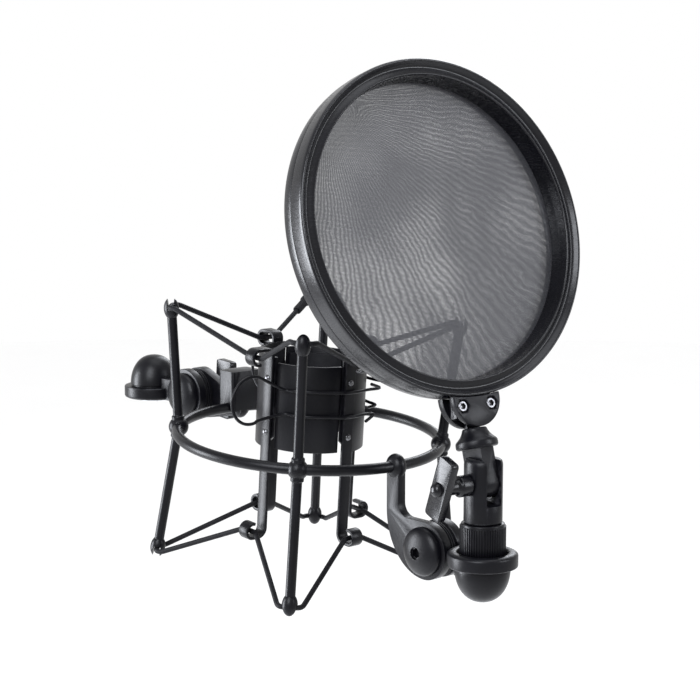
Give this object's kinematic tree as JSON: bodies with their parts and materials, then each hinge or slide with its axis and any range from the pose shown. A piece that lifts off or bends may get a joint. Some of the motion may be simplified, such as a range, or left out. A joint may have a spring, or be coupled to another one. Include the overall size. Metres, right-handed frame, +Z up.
{
  "type": "pop filter with shock mount",
  "caption": "Round double-mesh pop filter on a jointed bracket, carried by a spider shock mount with an elastic-hung microphone basket.",
  "frame": {"origin": "centre of the stand head's threaded mouth, where a microphone stand screws in", "axes": "+Z up along the stand, -Y forwards to the pop screen, +X to the right seen from the front"},
  "size_m": [0.1487, 0.2692, 0.2426],
  "materials": {
    "powder_coat": "matte black powder coat",
    "black_plastic": "satin black moulded plastic",
    "rubber": "matte black rubber",
    "steel": "bright turned steel",
    "chrome": "polished screw heads",
    "nylon": "open knit nylon mesh"
  },
  "bodies": {
    "stand_head": {"stand_head": "powder_coat", "stand_thread_insert": "steel", "stand_hinge_bolt": "powder_coat", "stand_friction_washer": "rubber"},
    "stand_lever": {"stand_t_handle": "black_plastic"},
    "frame": {"ring": "powder_coat", "post_back": "powder_coat", "post_left": "powder_coat", "post_front": "powder_coat", "post_right": "powder_coat", "pop_bracket": "powder_coat", "rear_arm": "powder_coat", "elastic_top": "rubber", "elastic_bottom": "rubber", "crimp_top": "rubber", "crimp_bottom": "rubber", "pop_hinge_bolt": "powder_coat", "pop_friction_washer": "rubber"},
    "basket": {"saddle_left": "powder_coat", "saddle_right": "powder_coat", "saddle_pad_left": "rubber", "saddle_pad_right": "rubber", "strap_right": "powder_coat", "strap_rear": "powder_coat", "strap_left": "powder_coat", "strap_fore": "powder_coat", "rivet_right_upper": "steel", "rivet_right_lower": "steel", "rivet_rear_upper": "steel", "rivet_rear_lower": "steel", "rivet_left_upper": "steel", "rivet_left_lower": "steel", "rivet_fore_upper": "steel", "rivet_fore_lower": "steel"},
    "jaw_front": {"jaw_front": "powder_coat", "jaw_pad_front": "rubber", "jaw_wire_front": "powder_coat"},
    "jaw_back": {"jaw_back": "powder_coat", "jaw_pad_back": "rubber", "jaw_wire_back": "powder_coat"},
    "pop_head": {"pop_head": "powder_coat", "swivel_stud": "steel"},
    "pop_lever": {"pop_t_handle": "black_plastic"},
    "lock_nut": {"knurled_nut": "powder_coat"},
    "clevis": {"clevis": "powder_coat", "clevis_bolt": "steel"},
    "clevis_lever": {"clevis_t_handle": "black_plastic"},
    "pop_screen": {"neck": "powder_coat", "neck_plate_front": "powder_coat", "neck_plate_rear": "powder_coat", "neck_screw_left": "chrome", "neck_screw_right": "chrome", "hoop_front": "black_plastic", "hoop_rear": "black_plastic", "mesh_front": "nylon", "mesh_rear": "nylon"}
  },
  "joints": [
    {"name": "stand_tilt", "type": "hinge", "parent": "stand_head", "child": "frame", "pos_m": [0, -0.0318, 0.0055], "axis": [1, 0, 0], "range_deg": [-60, 60]},
    {"name": "stand_lever_turn", "type": "hinge", "parent": "stand_head", "child": "stand_lever", "pos_m": [0, -0.0318, 0.0055], "axis": [1, 0, 0], "range_deg": [-180, 180]},
    {"name": "suspension_bounce", "type": "slide", "parent": "frame", "child": "basket", "axis": [0, -0.0797, 0.9968], "range_m": [-0.006, 0.006], "stiffness_N_per_m": 800, "springref_m": 0.0022, "deforming": ["elastic_top", "elastic_bottom"]},
    {"name": "jaw_front_open", "type": "hinge", "parent": "basket", "child": "jaw_front", "pos_m": [-0.02442, -0.12896, 0.0154], "axis": [0, 0.0797, -0.9968], "range_deg": [0, 20], "stiffness_Nm_per_rad": 0.25, "springref_deg": -20.05},
    {"name": "jaw_back_open", "type": "hinge", "parent": "basket", "child": "jaw_back", "pos_m": [0.003, -0.10164, 0.01759], "axis": [0, -0.0797, 0.9968], "range_deg": [0, 20], "stiffness_Nm_per_rad": 0.25, "springref_deg": -20.05},
    {"name": "pop_arm_tilt", "type": "hinge", "parent": "frame", "child": "pop_head", "pos_m": [0, -0.2068, -0.0424], "axis": [1, 0, 0], "range_deg": [-12, 60]},
    {"name": "pop_lever_turn", "type": "hinge", "parent": "pop_head", "child": "pop_lever", "pos_m": [0, -0.2068, -0.0424], "axis": [1, 0, 0], "range_deg": [-180, 180]},
    {"name": "lock_nut_turn", "type": "hinge", "parent": "pop_head", "child": "lock_nut", "pos_m": [0, -0.2386, -0.032], "axis": [0, 0, 1], "continuous": true},
    {"name": "pop_swivel", "type": "hinge", "parent": "pop_head", "child": "clevis", "pos_m": [0, -0.2386, -0.0071], "axis": [0, 0, 1], "range_deg": [-170, 170]},
    {"name": "clevis_lever_turn", "type": "hinge", "parent": "clevis", "child": "clevis_lever", "pos_m": [0, -0.2386, -0.0071], "axis": [0.9932, -0.1167, 0], "range_deg": [-180, 180]},
    {"name": "pop_tilt", "type": "hinge", "parent": "clevis", "child": "pop_screen", "pos_m": [0, -0.2386, -0.0071], "axis": [0.9932, -0.1167, 0], "range_deg": [-18, 70]}
  ],
  "couplings": [
    {"joint": "jaw_back_open", "follows": "jaw_front_open", "ratio": 1}
  ]
}
